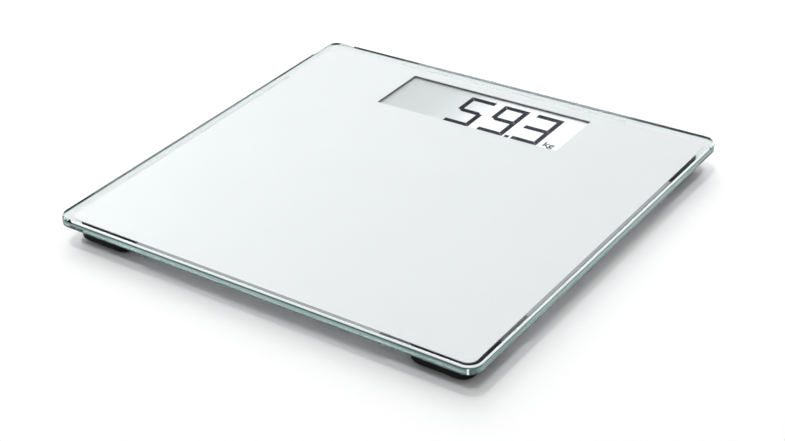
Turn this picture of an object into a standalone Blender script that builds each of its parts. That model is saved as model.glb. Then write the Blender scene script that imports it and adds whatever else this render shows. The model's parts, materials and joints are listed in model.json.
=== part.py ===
"""Bathroom scale: square glass platform on four load-cell feet, with a display
module under the back edge.

Frame: +X to the user's right, +Y from the user's side to the display side,
+Z up. Origin on the floor under the middle of the platform. Lengths are given
in millimetres and turned into metres by MM.
"""

import math

import bmesh
import bpy
from mathutils import Vector

MM = 0.001

# ---------------------------------------------------------------- dimensions
GAP = 0.3  # room kept between two pieces that rest on each other

# platform
PLATE = 300.0  # side of the square platform
PLATE_R = 9.0  # corner radius seen from above
GLASS_T = 6.0
HEIGHT = 20.0  # floor to the top of the glass
CHAMFER = 1.5  # polished upper edge
ARRIS = 0.3  # lower edge, only eased
GLASS_Z0 = HEIGHT - GLASS_T

# white print on the underside
PRINT_INSET = 6.2
PRINT_T = 0.2
PRINT_Z1 = GLASS_Z0 - GAP
PRINT_Z0 = PRINT_Z1 - PRINT_T
WINDOW_W = 137.6
WINDOW_D = 48.8
WINDOW_Y = 110.5  # middle of the display window
UNDER = PRINT_Z0 - GAP  # highest level of anything fixed under the print

# corner feet
FOOT_INSET = 8.5  # plate edge to the foot's outer wall
FOOT_W = 40.0
FOOT_R = 8.0
FOOT_WALL = 1.5
FOOT_C = PLATE / 2 - FOOT_INSET - FOOT_W / 2  # foot's middle, from the centre lines
HOUSING_Z0 = 2.6
TRAVEL = 0.5  # how far a foot rises as its load cell bends
CELL_W = 29.0
CELL_Z0 = 7.0
CELL_T = 1.6
PAD_W = 32.0
PAD_T = 1.3

# display module
MOD_X = 84.0  # half width
MOD_Y0 = 50.0
MOD_Y1 = 142.0
MOD_R = 6.0
MOD_WALL = 1.6
MOD_TOP_T = 1.3
COVER_Z0 = 2.0
COVER_T = 1.1
COVER_Z1 = COVER_Z0 + COVER_T

LCD_W = 146.0
LCD_D = 57.0
LCD_Z1 = UNDER - MOD_TOP_T - GAP
LCD_T = 1.8

PCB_X0, PCB_X1 = -70.0, 20.0
PCB_Y0, PCB_Y1 = 55.0, 98.0
PCB_Z0, PCB_Z1 = 5.6, 6.4

# coin cell and its door
CELL_X, CELL_Y = 43.0, 68.5
COIN_R = 10.0
COIN_Z0 = 4.3
COIN_T = 3.2
BAY_R0, BAY_R1 = 10.6, 11.8
DOOR_X0, DOOR_X1 = 31.0, 55.0
DOOR_Y0, DOOR_Y1 = 55.0, 82.0
HINGE_Y = 56.0
HINGE_Z = COVER_Z0 + COVER_T / 2
CLEAR = 0.4  # gap round the door and the button

# unit button
BTN_X, BTN_Y = -8.0, 66.0
BTN_TRAVEL = 0.5

# screws
COVER_SCREWS = [(-77.5, 56.5), (77.5, 56.5), (-77.5, 135.5), (77.5, 135.5)]
BOARD_SCREWS = [(-66.0, 77.0), (16.0, 77.0)]

# cables: flat three-core leads, clipped under the print
CABLE_W = 3.4
CABLE_T = 1.0
CABLE_Z = UNDER - 0.6

ARC = 10  # segments in a large corner
ARC_S = 5  # segments in a small corner

# ---------------------------------------------------------------- clean start
for obj in list(bpy.data.objects):
    bpy.data.objects.remove(obj, do_unlink=True)


# ---------------------------------------------------------------- materials
def material(name, colour, rough, metal=0.0):
    mat = bpy.data.materials.new(name)
    mat.use_nodes = True
    shader = mat.node_tree.nodes["Principled BSDF"]
    shader.inputs["Base Color"].default_value = (*colour, 1.0)
    shader.inputs["Roughness"].default_value = rough
    shader.inputs["Metallic"].default_value = metal
    mat.diffuse_color = (*colour, 1.0)
    return mat


M_GLASS = material("clear_glass", (0.80, 0.90, 0.87), 0.03)
M_PRINT = material("white_print", (0.90, 0.92, 0.92), 0.45)
M_BLACK = material("black_plastic", (0.018, 0.018, 0.020), 0.45)
M_RUBBER = material("black_rubber", (0.012, 0.012, 0.012), 0.85)
M_STEEL = material("spring_steel", (0.55, 0.55, 0.54), 0.32, 1.0)
M_GAUGE = material("gauge_film", (0.85, 0.45, 0.12), 0.35)
M_CASE = material("grey_plastic", (0.62, 0.64, 0.66), 0.5)
M_LCD = material("display_cell", (0.72, 0.75, 0.77), 0.25)
M_FILM = material("reflector_film", (0.86, 0.88, 0.90), 0.4)
M_ZEBRA = material("zebra_rubber", (0.35, 0.36, 0.38), 0.7)
M_BOARD = material("circuit_board", (0.05, 0.28, 0.12), 0.45)
M_EPOXY = material("chip_epoxy", (0.02, 0.02, 0.02), 0.3)
M_BUTTON = material("grey_button", (0.30, 0.31, 0.33), 0.5)
M_NICKEL = material("nickel_plate", (0.75, 0.74, 0.71), 0.25, 1.0)
M_ZINC = material("zinc_steel", (0.60, 0.61, 0.62), 0.3, 1.0)
M_CABLE = material("cable_jacket", (0.10, 0.10, 0.11), 0.5)
M_CLIP = material("clip_plastic", (0.85, 0.85, 0.84), 0.5)


# ---------------------------------------------------------------- outlines
def rounded(w, d, r, seg, cx=0.0, cy=0.0):
    """A rounded rectangle, anticlockwise, in millimetres."""
    pts = []
    for qx, qy, a0 in ((1, 1, 0), (-1, 1, 90), (-1, -1, 180), (1, -1, 270)):
        for i in range(seg + 1):
            a = math.radians(a0 + 90.0 * i / seg)
            pts.append(
                (
                    cx + qx * (w / 2 - r) + r * math.cos(a),
                    cy + qy * (d / 2 - r) + r * math.sin(a),
                )
            )
    return pts


def circle(r, seg, cx=0.0, cy=0.0):
    return [
        (
            cx + r * math.cos(2 * math.pi * i / seg),
            cy + r * math.sin(2 * math.pi * i / seg),
        )
        for i in range(seg)
    ]


def rect(x0, y0, x1, y1):
    return [(x0, y0), (x1, y0), (x1, y1), (x0, y1)]


# ---------------------------------------------------------------- solids
def finish(name, bm, mat, smooth=False, at=(0.0, 0.0, 0.0)):
    bmesh.ops.recalc_face_normals(bm, faces=bm.faces)
    mesh = bpy.data.meshes.new(name)
    bm.to_mesh(mesh)
    bm.free()
    mesh.materials.append(mat)
    if smooth:
        mesh.shade_smooth()
        mesh.set_sharp_from_angle(angle=math.radians(35))
    obj = bpy.data.objects.new(name, mesh)
    obj.location = Vector(at) * MM
    bpy.context.scene.collection.objects.link(obj)
    return obj


def loft(name, rings, mat, smooth=False, at=(0.0, 0.0, 0.0)):
    """Closed solid through rings of equal count, capped at both ends."""
    bm = bmesh.new()
    rows = [[bm.verts.new(Vector(p) * MM) for p in ring] for ring in rings]
    n = len(rows[0])
    for a, b in zip(rows, rows[1:]):
        for i in range(n):
            j = (i + 1) % n
            bm.faces.new((a[i], a[j], b[j], b[i]))
    bm.faces.new(list(reversed(rows[0])))
    bm.faces.new(rows[-1])
    return finish(name, bm, mat, smooth, at)


def prism(name, outline, z0, z1, mat, smooth=False, at=(0.0, 0.0, 0.0)):
    return loft(
        name,
        [[(x, y, z0) for x, y in outline], [(x, y, z1) for x, y in outline]],
        mat,
        smooth,
        at,
    )


def prism_x(name, outline, x0, x1, mat, at=(0.0, 0.0, 0.0)):
    """A profile in Y and Z, run along X."""
    return loft(
        name,
        [[(x0, y, z) for y, z in outline], [(x1, y, z) for y, z in outline]],
        mat,
        False,
        at,
    )


def turned(name, profile, mat, seg=24, at=(0.0, 0.0, 0.0)):
    """A closed solid of revolution about Z from (radius, height) points, bottom
    to top. The first and last points are on the axis."""
    bm = bmesh.new()
    low = bm.verts.new(Vector((0, 0, profile[0][1])) * MM)
    top = bm.verts.new(Vector((0, 0, profile[-1][1])) * MM)
    rows = []
    for r, z in profile[1:-1]:
        rows.append(
            [
                bm.verts.new(
                    Vector(
                        (
                            r * math.cos(2 * math.pi * i / seg),
                            r * math.sin(2 * math.pi * i / seg),
                            z,
                        )
                    )
                    * MM
                )
                for i in range(seg)
            ]
        )
    for i in range(seg):
        j = (i + 1) % seg
        bm.faces.new((low, rows[0][j], rows[0][i]))
        for a, b in zip(rows, rows[1:]):
            bm.faces.new((a[i], a[j], b[j], b[i]))
        bm.faces.new((rows[-1][i], rows[-1][j], top))
    return finish(name, bm, mat, True, at)


def guide(obj):
    """Marks a shape that only cuts or adds to another one."""
    obj.hide_render = True
    obj.display_type = "WIRE"
    return obj


def combine(obj, tool, operation):
    mod = obj.modifiers.new(operation.lower(), "BOOLEAN")
    mod.operation = operation
    mod.solver = "EXACT"
    mod.object = guide(tool)
    return obj


def cut(obj, tool):
    return combine(obj, tool, "DIFFERENCE")


def add(obj, tool):
    return combine(obj, tool, "UNION")


def fillet(points, radius, seg=5):
    """A path through 3-D points with its inner corners rounded."""
    pts = [Vector(p) for p in points]
    out = [pts[0]]
    for a, b, c in zip(pts, pts[1:], pts[2:]):
        u, v = (a - b).normalized(), (c - b).normalized()
        half = u.angle(v) / 2
        cut_back = min(
            radius / math.tan(half), (a - b).length * 0.49, (c - b).length * 0.49
        )
        p, q = b + u * cut_back, b + v * cut_back
        for i in range(seg + 1):
            t = i / seg
            out.append(p.lerp(b, t).lerp(b.lerp(q, t), t))
    out.append(pts[-1])
    kept = out[:1]
    for p in out[1:]:
        if (p - kept[-1]).length > 0.05:
            kept.append(p)
    return kept


def ribbon(name, path, width, thick, mat, level=True):
    """A flat lead or leaf swept along a path. level keeps its width
    horizontal; otherwise its width stands upright."""
    bm = bmesh.new()
    w, t = width / 2, thick / 2
    section = [(w, -t), (w, t), (-w, t), (-w, -t)]
    n = len(path)
    tangents = []
    for i in range(n):
        a = (path[i] - path[i - 1]).normalized() if i else None
        b = (path[i + 1] - path[i]).normalized() if i < n - 1 else None
        tangents.append(((a or b) + (b or a)).normalized())
    flat = [Vector((t_.x, t_.y, 0)) for t_ in tangents]
    heads = []
    for i in range(n):
        near = sorted(
            (j for j in range(n) if flat[j].length > 0.3), key=lambda j: abs(j - i)
        )
        heads.append(flat[near[0]].normalized())
    rows = []
    for p, t_, h in zip(path, tangents, heads):
        side = Vector((h.y, -h.x, 0))
        up = side.cross(t_).normalized()
        across, out = (side, up) if level else (up, side)
        rows.append([bm.verts.new((p + across * a + out * b) * MM) for a, b in section])
    m = len(section)
    for a, b in zip(rows, rows[1:]):
        for i in range(m):
            j = (i + 1) % m
            bm.faces.new((a[i], a[j], b[j], b[i]))
    bm.faces.new(list(reversed(rows[0])))
    bm.faces.new(rows[-1])
    return finish(name, bm, mat)


# ---------------------------------------------------------------- platform
def plate_ring(inset, z):
    w = PLATE - 2 * inset
    return [(x, y, z) for x, y in rounded(w, w, PLATE_R - inset, ARC)]


loft(
    "glass_platform",
    [
        plate_ring(ARRIS, GLASS_Z0),
        plate_ring(0.0, GLASS_Z0 + ARRIS),
        plate_ring(0.0, HEIGHT - CHAMFER),
        plate_ring(CHAMFER, HEIGHT),
    ],
    M_GLASS,
)

PRINT_W = PLATE - 2 * PRINT_INSET
underside_print = prism(
    "underside_print",
    rounded(PRINT_W, PRINT_W, PLATE_R - 3.0, ARC_S),
    PRINT_Z0,
    PRINT_Z1,
    M_PRINT,
)
cut(
    underside_print,
    prism(
        "cut_print_window",
        rounded(WINDOW_W, WINDOW_D, 1.0, 3, 0, WINDOW_Y),
        PRINT_Z0 - 1,
        PRINT_Z1 + 1,
        M_PRINT,
    ),
)

# ---------------------------------------------------------------- corner feet
CORNERS = {
    "front_left": (-1, -1),
    "front_right": (1, -1),
    "back_left": (-1, 1),
    "back_right": (1, 1),
}


def foot_housing(name, turn, at):
    inner = FOOT_W - 2 * FOOT_WALL
    body = loft(
        name,
        [
            [(x, y, z) for x, y in rounded(w, w, r, ARC_S)]
            for w, r, z in (
                (FOOT_W - 1.6, FOOT_R - 0.8, HOUSING_Z0),  # slanted lower edge
                (FOOT_W, FOOT_R, HOUSING_Z0 + 1.2),
                (FOOT_W, FOOT_R, UNDER),
            )
        ],
        M_BLACK,
        at=at,
    )
    body.rotation_euler.z = turn
    parts = [
        # room for the plunger and the load cell, then the smaller room the
        # tongue bends into
        prism(
            "cut_room_" + name,
            rounded(inner, inner, FOOT_R - FOOT_WALL, ARC_S),
            HOUSING_Z0 - 1,
            CELL_Z0 + CELL_T + GAP,
            M_BLACK,
        ),
        prism(
            "cut_top_room_" + name,
            rounded(CELL_W - 4, CELL_W - 4, 3.0, 3),
            CELL_Z0 + CELL_T - 0.5,
            UNDER - 0.8,
            M_BLACK,
        ),
        # slot where the cable climbs out
        prism_x(
            "cut_cable_slot_" + name,
            [
                (12.4, CELL_Z0 + 0.9),
                (inner / 2 - 0.3, CELL_Z0 + 0.9),
                (inner / 2 - 0.3, UNDER - 3.0),
                (FOOT_W / 2 + 1, UNDER - 1.8),
                (FOOT_W / 2 + 1, UNDER + 1),
                (12.4, UNDER + 1),
            ],
            -2.6,
            2.6,
            M_BLACK,
        ),
    ]
    for tool in parts:
        tool.parent = body
        cut(body, tool)
    # hooks that carry the load cell's frame
    for side in (-1, 1):
        x0, x1 = sorted((side * (CELL_W / 2 - 1.0), side * (inner / 2 + 0.6)))
        hook = prism(
            f"add_hook_{'a' if side < 0 else 'b'}_{name}",
            rect(x0, -5.0, x1, 5.0),
            CELL_Z0 - GAP - 0.9,
            CELL_Z0 - GAP,
            M_BLACK,
        )
        hook.parent = body
        add(body, hook)
    return body


def load_cell(name, turn, at):
    body = prism(
        name,
        rounded(CELL_W, CELL_W, 3.0, ARC_S),
        CELL_Z0,
        CELL_Z0 + CELL_T,
        M_STEEL,
        at=at,
    )
    body.rotation_euler.z = turn
    slot = prism(
        "cut_slot_" + name,
        [
            (-8.0, 8.0),
            (-8.0, -10.5),
            (8.0, -10.5),
            (8.0, 8.0),
            (6.5, 8.0),
            (6.5, -9.0),
            (-6.5, -9.0),
            (-6.5, 8.0),
        ],
        CELL_Z0 - 1,
        CELL_Z0 + CELL_T + 1,
        M_STEEL,
    )
    hole = prism(
        "cut_pin_hole_" + name,
        circle(2.1, 16),
        CELL_Z0 - 1,
        CELL_Z0 + CELL_T + 1,
        M_STEEL,
    )
    for tool in (slot, hole):
        tool.parent = body
        cut(body, tool)
    return body


def foot_plunger(name, turn, at):
    w = FOOT_W - 2 * FOOT_WALL - 0.8
    r = FOOT_R - FOOT_WALL - 0.4
    z0 = PAD_T + GAP
    body = prism(name, rounded(w, w, r, ARC_S), z0, 5.0, M_BLACK, at=at)
    body.rotation_euler.z = turn
    tray = prism(
        "cut_tray_" + name,
        rounded(w - 3, w - 3, r - 1.5, ARC_S),
        z0 + 1.6,
        6.0,
        M_BLACK,
    )
    tray.parent = body
    cut(body, tray)
    boss = turned(
        "add_boss_" + name,
        [
            (0, z0 + 0.6),
            (4.5, z0 + 0.6),
            (4.5, CELL_Z0 - TRAVEL - 0.4),
            (1.7, CELL_Z0 - TRAVEL - 0.4),
            (1.7, CELL_Z0 + CELL_T + GAP),
            (2.8, CELL_Z0 + CELL_T + GAP),
            (2.8, CELL_Z0 + CELL_T + GAP + 0.4),
            (1.9, CELL_Z0 + CELL_T + GAP + 0.8),
            (0, CELL_Z0 + CELL_T + GAP + 0.8),
        ],
        M_BLACK,
        seg=20,
    )
    boss.parent = body
    add(body, boss)
    return body


def foot_pad(name, turn, at):
    w = PAD_W
    soft = 0.4
    body = loft(
        name,
        [
            [(x, y, 0.0) for x, y in rounded(w - 2 * soft, w - 2 * soft, 3.6, ARC_S)],
            [(x, y, soft) for x, y in rounded(w, w, 4.0, ARC_S)],
            [(x, y, PAD_T) for x, y in rounded(w, w, 4.0, ARC_S)],
        ],
        M_RUBBER,
        at=at,
    )
    body.rotation_euler.z = turn
    return body


def strain_gauge(name, turn, at):
    body = prism(
        name,
        rounded(5.5, 3.2, 0.6, 3, 0.0, 6.6),
        CELL_Z0 - GAP - 0.3,
        CELL_Z0 - GAP,
        M_GAUGE,
        at=at,
    )
    body.rotation_euler.z = turn
    return body


for corner, (sx, sy) in CORNERS.items():
    spot = (sx * FOOT_C, sy * FOOT_C, 0.0)
    # the tongue's root and the cable slot face the display side at the front
    # feet and the user's side at the back feet
    turned_by = 0.0 if sy < 0 else math.pi
    foot_housing("foot_housing_" + corner, turned_by, spot)
    load_cell("load_cell_" + corner, turned_by, spot)
    strain_gauge("strain_gauge_" + corner, turned_by, spot)
    # the foot slides along Z, so its parent empty stands on the foot's axis
    axis = bpy.data.objects.new("axis_foot_" + corner, None)
    axis.location = Vector(spot) * MM
    bpy.context.scene.collection.objects.link(axis)
    for piece in (
        foot_plunger("foot_plunger_" + corner, turned_by, (0, 0, 0)),
        foot_pad("foot_pad_" + corner, turned_by, (0, 0, 0)),
    ):
        piece.parent = axis

# ---------------------------------------------------------------- display module
mod_w, mod_d = 2 * MOD_X, MOD_Y1 - MOD_Y0
mod_y = (MOD_Y0 + MOD_Y1) / 2

housing = prism(
    "electronics_housing",
    rounded(mod_w, mod_d, MOD_R, ARC_S, 0, mod_y),
    COVER_Z1 + GAP,
    UNDER,
    M_CASE,
)
cut(
    housing,
    prism(
        "cut_housing_room",
        rounded(
            mod_w - 2 * MOD_WALL, mod_d - 2 * MOD_WALL, MOD_R - MOD_WALL, ARC_S, 0, mod_y
        ),
        COVER_Z0,
        UNDER - MOD_TOP_T,
        M_CASE,
    ),
)
cut(
    housing,
    prism(
        "cut_housing_window",
        rounded(WINDOW_W, WINDOW_D, 1.0, 3, 0, WINDOW_Y),
        UNDER - MOD_TOP_T - 1,
        UNDER + 1,
        M_CASE,
    ),
)
# round wall that holds the coin cell, open towards the user's side for the
# positive contact
bay = prism(
    "add_battery_bay",
    circle(BAY_R1, 32, CELL_X, CELL_Y),
    COVER_Z1 + 0.8,
    UNDER - MOD_TOP_T + 0.4,
    M_CASE,
)
cut(
    bay,
    prism(
        "cut_battery_bay",
        circle(BAY_R0, 32, CELL_X, CELL_Y),
        COVER_Z1,
        UNDER - MOD_TOP_T - 0.001,
        M_CASE,
    ),
)
cut(
    bay,
    prism(
        "cut_bay_front",
        rect(CELL_X - 9.0, CELL_Y - 14.0, CELL_X + 9.0, CELL_Y - 6.5),
        COVER_Z1,
        UNDER - MOD_TOP_T - 0.002,
        M_CASE,
    ),
)
cut(
    bay,
    prism(
        "cut_bay_left",
        rect(CELL_X - 14.0, CELL_Y - 4.2, CELL_X - 8.0, CELL_Y + 4.2),
        COIN_Z0 + COIN_T - 0.4,
        UNDER - MOD_TOP_T - 0.003,
        M_CASE,
    ),
)
add(housing, bay)
for i, (x, y) in enumerate(COVER_SCREWS):
    boss = prism(
        f"add_cover_boss_{i + 1}",
        circle(3.0, 16, x, y),
        5.3,
        UNDER - MOD_TOP_T + 0.4,
        M_CASE,
    )
    add(housing, boss)
    cut(
        housing,
        prism(
            f"cut_cover_boss_{i + 1}",
            circle(1.35, 12, x, y),
            4.0,
            UNDER - MOD_TOP_T - 0.4,
            M_CASE,
        ),
    )
for i, (x, y) in enumerate(BOARD_SCREWS):
    boss = prism(
        f"add_board_boss_{i + 1}",
        circle(2.6, 16, x, y),
        PCB_Z1 + GAP,
        UNDER - MOD_TOP_T + 0.4,
        M_CASE,
    )
    add(housing, boss)
    cut(
        housing,
        prism(
            f"cut_board_boss_{i + 1}",
            circle(1.1, 12, x, y),
            PCB_Z1 - 1,
            UNDER - MOD_TOP_T - 0.4,
            M_CASE,
        ),
    )

# where each cable goes in
ENTRIES = {
    "front_left": -52.0,
    "back_left": -62.0,
    "front_right": 2.0,
    "back_right": 12.0,
}
for corner, x in ENTRIES.items():
    cut(
        housing,
        prism_x(
            "cut_cable_entry_" + corner,
            [
                (MOD_Y0 - 1, UNDER - 1.6),
                (MOD_Y0 + MOD_WALL + 0.2, UNDER - 1.6),
                (MOD_Y0 + MOD_WALL + 0.2, UNDER - MOD_TOP_T - 1.5),
                (MOD_Y0 + 8.0, UNDER - MOD_TOP_T - 1.5),
                (MOD_Y0 + 8.0, UNDER + 1),
                (MOD_Y0 - 1, UNDER + 1),
            ],
            x - 2.4,
            x + 2.4,
            M_CASE,
        ),
    )

cover = prism(
    "housing_cover",
    rounded(mod_w, mod_d, MOD_R, ARC_S, 0, mod_y),
    COVER_Z0,
    COVER_Z1,
    M_CASE,
)
cut(
    cover,
    prism(
        "cut_door_opening",
        rounded(
            DOOR_X1 - DOOR_X0 + 2 * CLEAR,
            DOOR_Y1 - DOOR_Y0 + 2 * CLEAR,
            1.4,
            3,
            (DOOR_X0 + DOOR_X1) / 2,
            (DOOR_Y0 + DOOR_Y1) / 2,
        ),
        COVER_Z0 - 1,
        COVER_Z1 + 1,
        M_CASE,
    ),
)
cut(
    cover,
    prism(
        "cut_button_hole",
        rounded(7.8, 4.8, 2.2, 5, BTN_X, BTN_Y),
        COVER_Z0 - 1,
        COVER_Z1 + 1,
        M_CASE,
    ),
)
cut(
    cover,
    prism(
        "cut_button_pocket",
        rounded(11.4, 8.4, 1.5, 3, BTN_X, BTN_Y),
        COVER_Z0 + 0.6,
        COVER_Z1 + 1,
        M_CASE,
    ),
)
for i, (x, y) in enumerate(COVER_SCREWS):
    add(
        cover,
        prism(
            f"add_screw_cup_{i + 1}",
            circle(3.9, 20, x, y),
            COVER_Z0 + 0.5,
            5.0,
            M_CASE,
        ),
    )
    cut(
        cover,
        prism(
            f"cut_screw_head_{i + 1}",
            circle(2.8, 20, x, y),
            COVER_Z0 - 1,
            4.1,
            M_CASE,
        ),
    )
    cut(
        cover,
        prism(
            f"cut_screw_shank_{i + 1}",
            circle(1.4, 12, x, y),
            3.5,
            6.0,
            M_CASE,
        ),
    )

# liquid crystal cell: the lower pane stands out at the user's side as a ledge
# that carries the contacts
y0, y1 = WINDOW_Y - LCD_D / 2, WINDOW_Y + LCD_D / 2
prism_x(
    "lcd_cell",
    [
        (y0, LCD_Z1 - LCD_T),
        (y1, LCD_Z1 - LCD_T),
        (y1, LCD_Z1),
        (y0 + 3.0, LCD_Z1),
        (y0 + 3.0, LCD_Z1 - LCD_T / 2),
        (y0, LCD_Z1 - LCD_T / 2),
    ],
    -LCD_W / 2,
    LCD_W / 2,
    M_LCD,
)
prism(
    "lcd_reflector",
    rect(-71.0, y0 + 5.0, 71.0, y1 - 0.5),
    LCD_Z1 - LCD_T - GAP - 0.3,
    LCD_Z1 - LCD_T - GAP,
    M_FILM,
)
prism(
    "zebra_connector",
    rect(-60.0, y0 + 0.8, 10.0, y0 + 3.2),
    PCB_Z1 + GAP,
    LCD_Z1 - LCD_T - GAP,
    M_ZEBRA,
)

board = prism(
    "circuit_board",
    rounded(
        PCB_X1 - PCB_X0,
        PCB_Y1 - PCB_Y0,
        1.0,
        3,
        (PCB_X0 + PCB_X1) / 2,
        (PCB_Y0 + PCB_Y1) / 2,
    ),
    PCB_Z0,
    PCB_Z1,
    M_BOARD,
)
for i, (x, y) in enumerate(BOARD_SCREWS):
    cut(
        board,
        prism(
            f"cut_board_hole_{i + 1}",
            circle(1.1, 12, x, y),
            PCB_Z0 - 1,
            PCB_Z1 + 1,
            M_BOARD,
        ),
    )

turned(
    "controller_chip",
    [
        (0, PCB_Z0 - GAP - 1.0),
        (1.6, PCB_Z0 - GAP - 0.95),
        (3.0, PCB_Z0 - GAP - 0.75),
        (4.1, PCB_Z0 - GAP - 0.4),
        (4.6, PCB_Z0 - GAP),
        (0, PCB_Z0 - GAP),
    ],
    M_EPOXY,
    seg=24,
    at=(-34.0, 84.0, 0.0),
)

# unit switch on the board, and the button that presses it
prism(
    "unit_switch",
    rounded(4.5, 3.5, 0.4, 2, BTN_X, BTN_Y),
    PCB_Z0 - GAP - 0.8,
    PCB_Z0 - GAP,
    M_NICKEL,
)
button = prism(
    "unit_button",
    rounded(7.0, 4.0, 1.9, 5),
    COVER_Z0 + 0.15,
    COVER_Z0 + 1.1,
    M_BUTTON,
    at=(BTN_X, BTN_Y, 0.0),
)
flange = prism(
    "add_button_flange", rounded(10.2, 7.2, 1.2, 3), COVER_Z0 + 0.9, 3.5, M_BUTTON
)
nub = prism("add_button_nub", circle(1.0, 16), 3.3, 3.75, M_BUTTON)
for tool in (flange, nub):
    tool.parent = button
    add(button, tool)

# coin cell: the can with its crimped rim, and the smaller cap on top
turned(
    "coin_cell",
    [
        (0, COIN_Z0),
        (9.5, COIN_Z0),
        (10.0, COIN_Z0 + 0.4),
        (10.0, COIN_Z0 + COIN_T - 0.5),
        (9.7, COIN_Z0 + COIN_T - 0.2),
        (8.9, COIN_Z0 + COIN_T - 0.2),
        (8.7, COIN_Z0 + COIN_T),
        (0, COIN_Z0 + COIN_T),
    ],
    M_NICKEL,
    seg=32,
    at=(CELL_X, CELL_Y, 0.0),
)
coin_top = COIN_Z0 + COIN_T
ribbon(
    "battery_contact_negative",
    fillet(
        [
            (15.5, CELL_Y, PCB_Z1 + GAP + 0.15),
            (22.5, CELL_Y, PCB_Z1 + GAP + 0.15),
            (24.5, CELL_Y, coin_top + 1.5),
            (31.5, CELL_Y, coin_top + 1.5),
            (CELL_X, CELL_Y, coin_top + GAP + 0.15),
            (CELL_X + 4.0, CELL_Y, coin_top + 1.0),
        ],
        1.5,
        4,
    ),
    6.0,
    0.3,
    M_NICKEL,
)
ribbon(
    "battery_contact_positive",
    fillet(
        [
            (15.5, 58.5, PCB_Z1 + GAP + 0.65),
            (27.0, 58.5, PCB_Z1 + GAP + 0.65),
            (33.0, 54.9, PCB_Z1 + GAP + 0.65),
            (CELL_X, CELL_Y - COIN_R - GAP - 0.15, PCB_Z1 + GAP + 0.65),
            (CELL_X + 7.0, 54.9, PCB_Z1 + GAP + 0.65),
        ],
        1.5,
        4,
    ),
    1.3,
    0.3,
    M_NICKEL,
    level=False,
)

# battery door: a flat plate with a thumb notch, and two hooks that reach over
# the cover's inner face; it swings about a line along X through its thickness
hinge = bpy.data.objects.new("axis_battery_door", None)
hinge.location = Vector((CELL_X, HINGE_Y, HINGE_Z)) * MM
bpy.context.scene.collection.objects.link(hinge)
dx, dy, dz = CELL_X, HINGE_Y, HINGE_Z
door = prism(
    "battery_door",
    rounded(
        DOOR_X1 - DOOR_X0,
        DOOR_Y1 - DOOR_Y0,
        1.0,
        3,
        (DOOR_X0 + DOOR_X1) / 2 - dx,
        (DOOR_Y0 + DOOR_Y1) / 2 - dy,
    ),
    COVER_Z0 - dz,
    COVER_Z1 - dz,
    M_CASE,
)
notch = prism(
    "cut_thumb_notch",
    rect(-4.0, DOOR_Y1 - dy - 1.0, 4.0, DOOR_Y1 - dy + 1.0),
    COVER_Z0 - dz - 1,
    COVER_Z1 - dz + 1,
    M_CASE,
)
notch.parent = door
cut(door, notch)
for side in (-1, 1):
    hook = prism_x(
        f"add_door_hook_{'a' if side < 0 else 'b'}",
        [
            (DOOR_Y0 + 0.3 - dy, COVER_Z1 - 0.4 - dz),
            (DOOR_Y0 + 2.3 - dy, COVER_Z1 - 0.4 - dz),
            (DOOR_Y0 + 2.3 - dy, COVER_Z1 + 0.7 - dz),
            (DOOR_Y0 + 1.9 - dy, COVER_Z1 + 0.9 - dz),
            (DOOR_Y0 - 1.8 - dy, COVER_Z1 + 0.9 - dz),
            (DOOR_Y0 - 1.8 - dy, COVER_Z1 + 0.35 - dz),
            (DOOR_Y0 + 0.3 - dy, COVER_Z1 + 0.35 - dz),
        ],
        side * 8.0 - 1.5,
        side * 8.0 + 1.5,
        M_CASE,
    )
    hook.parent = door
    add(door, hook)
door.parent = hinge

# ---------------------------------------------------------------- screws
for i, (x, y) in enumerate(COVER_SCREWS):
    screw = turned(
        f"cover_screw_{i + 1}",
        [
            (0, 2.5),
            (1.9, 2.5),
            (2.3, 2.8),
            (2.3, 3.8),
            (1.0, 3.8),
            (1.0, 8.6),
            (0.3, 9.3),
            (0, 9.3),
        ],
        M_ZINC,
        seg=16,
        at=(x, y, 0.0),
    )
    for turn in (0.0, math.pi / 2):
        slot = prism(
            f"cut_drive_{'a' if turn else 'b'}_{i + 1}",
            rect(-1.3, -0.28, 1.3, 0.28),
            1.5,
            3.1,
            M_ZINC,
        )
        slot.rotation_euler.z = turn
        slot.parent = screw
        cut(screw, slot)
for i, (x, y) in enumerate(BOARD_SCREWS):
    screw = turned(
        f"board_screw_{i + 1}",
        [
            (0, 4.3),
            (1.5, 4.3),
            (1.8, 4.55),
            (1.8, PCB_Z0 - GAP),
            (0.75, PCB_Z0 - GAP),
            (0.75, 8.4),
            (0.2, 8.9),
            (0, 8.9),
        ],
        M_ZINC,
        seg=16,
        at=(x, y, 0.0),
    )
    for turn in (0.0, math.pi / 2):
        slot = prism(
            f"cut_board_drive_{'a' if turn else 'b'}_{i + 1}",
            rect(-1.0, -0.22, 1.0, 0.22),
            3.5,
            4.8,
            M_ZINC,
        )
        slot.rotation_euler.z = turn
        slot.parent = screw
        cut(screw, slot)

# ---------------------------------------------------------------- cables, clips
PAD_Y = 61.0  # solder pads on the board
for corner, (sx, sy) in CORNERS.items():
    cx, cy = sx * FOOT_C, sy * FOOT_C
    way = -sy  # the side of the foot that the cable leaves by
    run_y = 20.0 if sy < 0 else 34.0
    entry = ENTRIES[corner]
    path = fillet(
        [
            (cx, cy + way * 15.75, CELL_Z0 + 0.3),
            (cx, cy + way * 15.75, CABLE_Z),
            (cx, run_y, CABLE_Z),
            (entry, run_y, CABLE_Z),
            (entry, MOD_Y0 + 3.0, CABLE_Z),
            (entry, MOD_Y0 + 7.0, PCB_Z1 + GAP + CABLE_T / 2),
            (entry, PAD_Y, PCB_Z1 + GAP + CABLE_T / 2),
        ],
        6.0,
        5,
    )
    ribbon("sensor_cable_" + corner, path, CABLE_W, CABLE_T, M_CABLE)


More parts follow.
